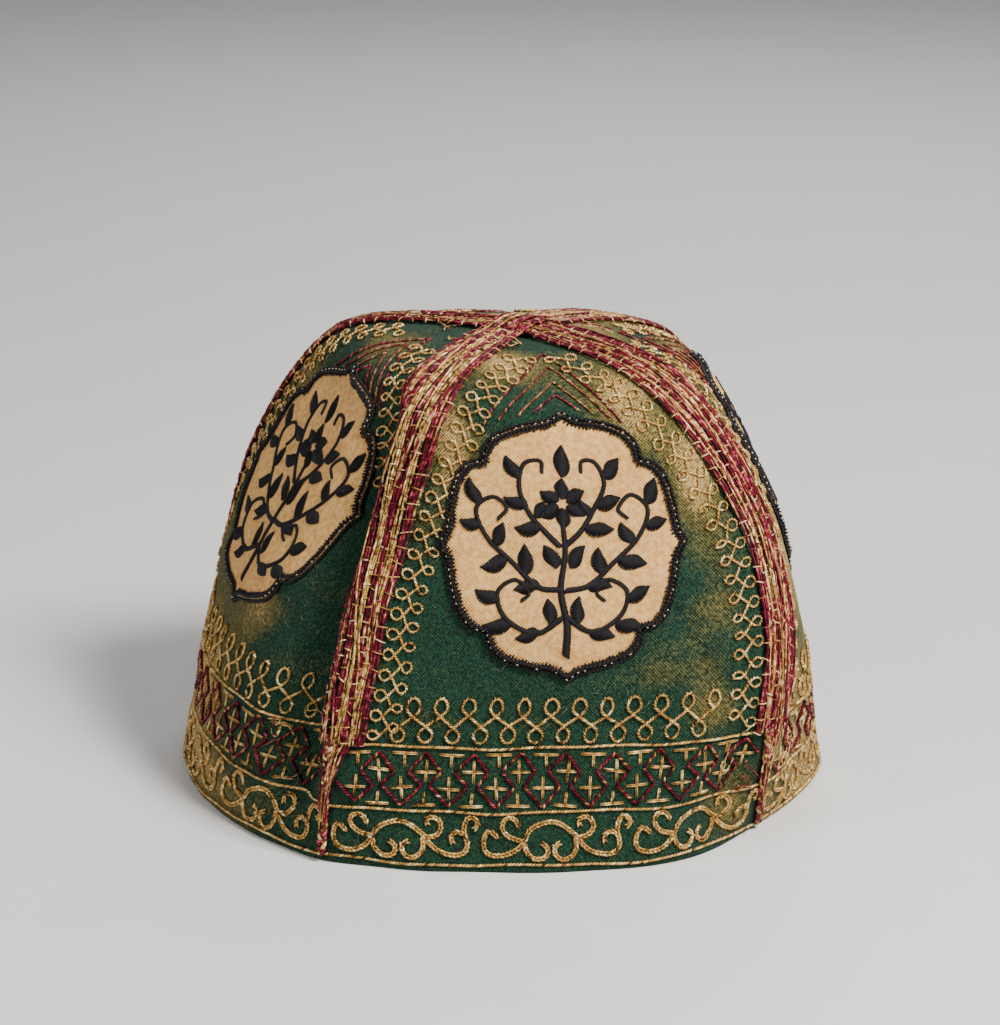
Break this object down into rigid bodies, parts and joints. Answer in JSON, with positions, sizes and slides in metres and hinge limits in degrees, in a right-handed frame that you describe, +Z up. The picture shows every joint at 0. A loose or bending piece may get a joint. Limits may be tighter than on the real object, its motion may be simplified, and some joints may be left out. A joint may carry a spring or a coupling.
{
  "type": "embroidered four-gore dervish cap",
  "caption": "Soft tall cap of cloth gores with laid-thread seam bands, couched thread borders and a lobed medallion on each gore.",
  "frame": {"origin": "centre of the bounding box's bottom, on the surface the hem rests on", "axes": "+Z up from hem to crown, -Y out of the front gore, +X to the viewer's right of the front gore"},
  "size_m": [0.1946, 0.1552, 0.1384],
  "materials": {
    "gore_cloth": "plain-woven green cloth, matt, faded to beige in places",
    "medallion_cloth": "cream plain weave, matt, faint brown stains",
    "black_thread": "black stitched cord, low sheen",
    "laid_thread": "laid gold and crimson threads, couched, bright sheen",
    "braid_thread": "twisted crimson and gold braid, soft sheen"
  },
  "bodies": {
    "root": {"panel_front": "gore_cloth", "medallion_front": "medallion_cloth", "medallion_edge_front": "black_thread", "panel_right": "gore_cloth", "medallion_right": "medallion_cloth", "medallion_edge_right": "black_thread", "panel_back": "gore_cloth", "medallion_back": "medallion_cloth", "medallion_edge_back": "black_thread", "panel_left": "gore_cloth", "medallion_left": "medallion_cloth", "medallion_edge_left": "black_thread", "seam_band_front_left": "laid_thread", "seam_braid_front_left": "braid_thread", "seam_band_front_right": "laid_thread", "seam_braid_front_right": "braid_thread", "seam_band_back_right": "laid_thread", "seam_braid_back_right": "braid_thread", "seam_band_back_left": "laid_thread", "seam_braid_back_left": "braid_thread"}
  },
  "joints": []
}
